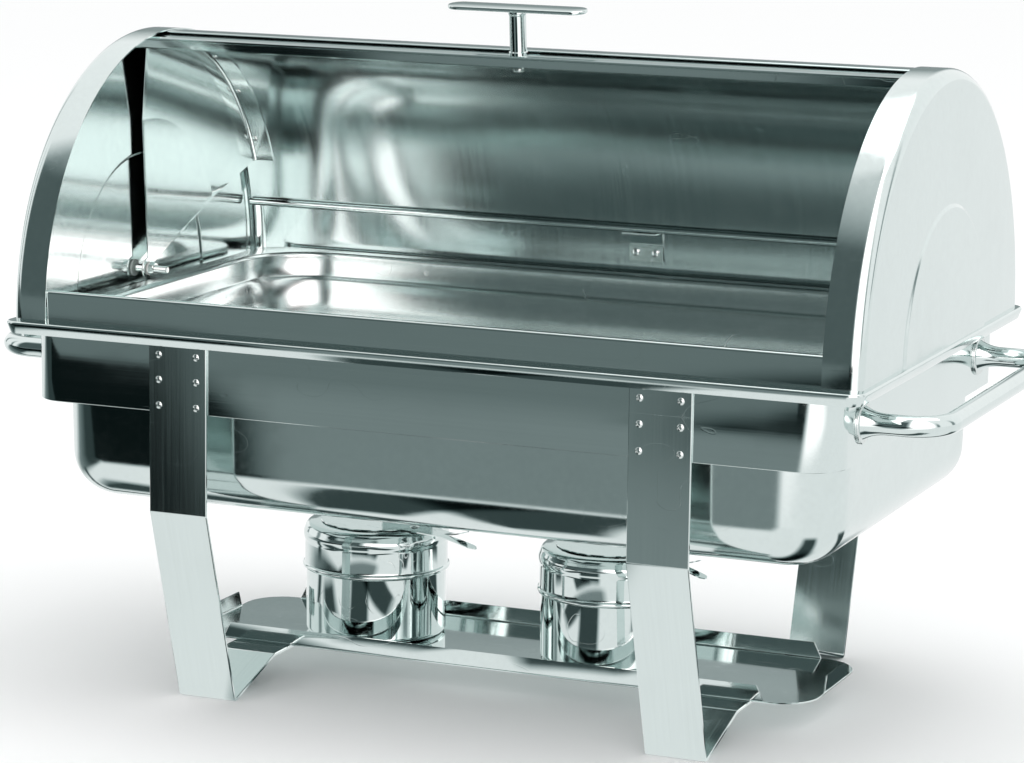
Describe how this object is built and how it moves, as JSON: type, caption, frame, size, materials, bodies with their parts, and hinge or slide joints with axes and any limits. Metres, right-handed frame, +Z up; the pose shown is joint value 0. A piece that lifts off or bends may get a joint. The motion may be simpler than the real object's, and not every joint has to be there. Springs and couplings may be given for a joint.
{
  "type": "roll top chafer",
  "caption": "Stainless roll top chafing dish: half-barrel hood with a roll cover, gastronorm food pan, water pan, strip-leg stand, tray and fuel burners.",
  "frame": {"origin": "on the table, under the middle of the stand", "axes": "+X to the right along the long side, +Y to the rear, +Z up"},
  "size_m": [0.636, 0.355, 0.4363],
  "materials": {
    "satin_steel": "brushed stainless steel, fine lengthwise grain",
    "hood_steel": "bright rolled stainless steel sheet",
    "mirror_steel": "mirror-polished stainless steel",
    "pan_steel": "deep-drawn bright stainless steel",
    "fastener_steel": "bright steel fasteners",
    "nylon": "white nylon"
  },
  "bodies": {
    "stand": {"stand_band": "satin_steel", "left_leg_strip": "satin_steel", "right_leg_strip": "satin_steel", "leg_rivets": "fastener_steel", "burner_tray": "mirror_steel", "left_handle": "mirror_steel", "right_handle": "mirror_steel", "handle_washers": "fastener_steel", "handle_screws": "fastener_steel"},
    "water_pan": {"water_pan": "pan_steel"},
    "food_pan": {"food_pan": "pan_steel"},
    "hood": {"left_end_cap": "mirror_steel", "right_end_cap": "mirror_steel", "rear_barrel": "hood_steel", "front_apron": "satin_steel", "pivot_studs": "fastener_steel", "pivot_bushes": "nylon", "pivot_nuts": "fastener_steel", "stop_bracket": "satin_steel", "stop_screws": "fastener_steel"},
    "roll_cover": {"cover_sheet": "hood_steel", "leading_bar": "satin_steel", "trailing_hem": "satin_steel", "left_sector": "mirror_steel", "right_sector": "mirror_steel", "sector_rivets": "fastener_steel", "handle_post": "mirror_steel", "handle_plate": "mirror_steel", "handle_screw": "fastener_steel"},
    "left_burner": {"left_burner_can": "mirror_steel"},
    "left_lid": {"left_burner_lid": "mirror_steel", "left_damper_rivet": "fastener_steel"},
    "left_damper": {"left_damper": "mirror_steel"},
    "right_burner": {"right_burner_can": "mirror_steel"},
    "right_lid": {"right_burner_lid": "mirror_steel", "right_damper_rivet": "fastener_steel"},
    "right_damper": {"right_damper": "mirror_steel"}
  },
  "joints": [
    {"name": "water_pan_lift", "type": "slide", "parent": "stand", "child": "water_pan", "axis": [0, 0, 1], "range_m": [0, 0.12]},
    {"name": "food_pan_lift", "type": "slide", "parent": "water_pan", "child": "food_pan", "axis": [0, 0, 1], "range_m": [0, 0.08]},
    {"name": "hood_lift", "type": "slide", "parent": "food_pan", "child": "hood", "axis": [0, 0, 1], "range_m": [0, 0.1]},
    {"name": "roll_cover_turn", "type": "hinge", "parent": "hood", "child": "roll_cover", "pos_m": [0, 0, 0.248], "axis": [1, 0, 0], "range_deg": [0, 77]},
    {"name": "left_burner_lift", "type": "slide", "parent": "stand", "child": "left_burner", "axis": [0, 0, 1], "range_m": [0, 0.012]},
    {"name": "left_lid_lift", "type": "slide", "parent": "left_burner", "child": "left_lid", "axis": [0, 0, 1], "range_m": [0, 0.01]},
    {"name": "left_damper_swivel", "type": "hinge", "parent": "left_lid", "child": "left_damper", "pos_m": [-0.07162, -0.00949, 0.0926], "axis": [0, 0, 1], "range_deg": [0, 85]},
    {"name": "right_burner_lift", "type": "slide", "parent": "stand", "child": "right_burner", "axis": [0, 0, 1], "range_m": [0, 0.012]},
    {"name": "right_lid_lift", "type": "slide", "parent": "right_burner", "child": "right_lid", "axis": [0, 0, 1], "range_m": [0, 0.01]},
    {"name": "right_damper_swivel", "type": "hinge", "parent": "right_lid", "child": "right_damper", "pos_m": [0.09268, -0.014, 0.0926], "axis": [0, 0, 1], "range_deg": [0, 85]}
  ]
}
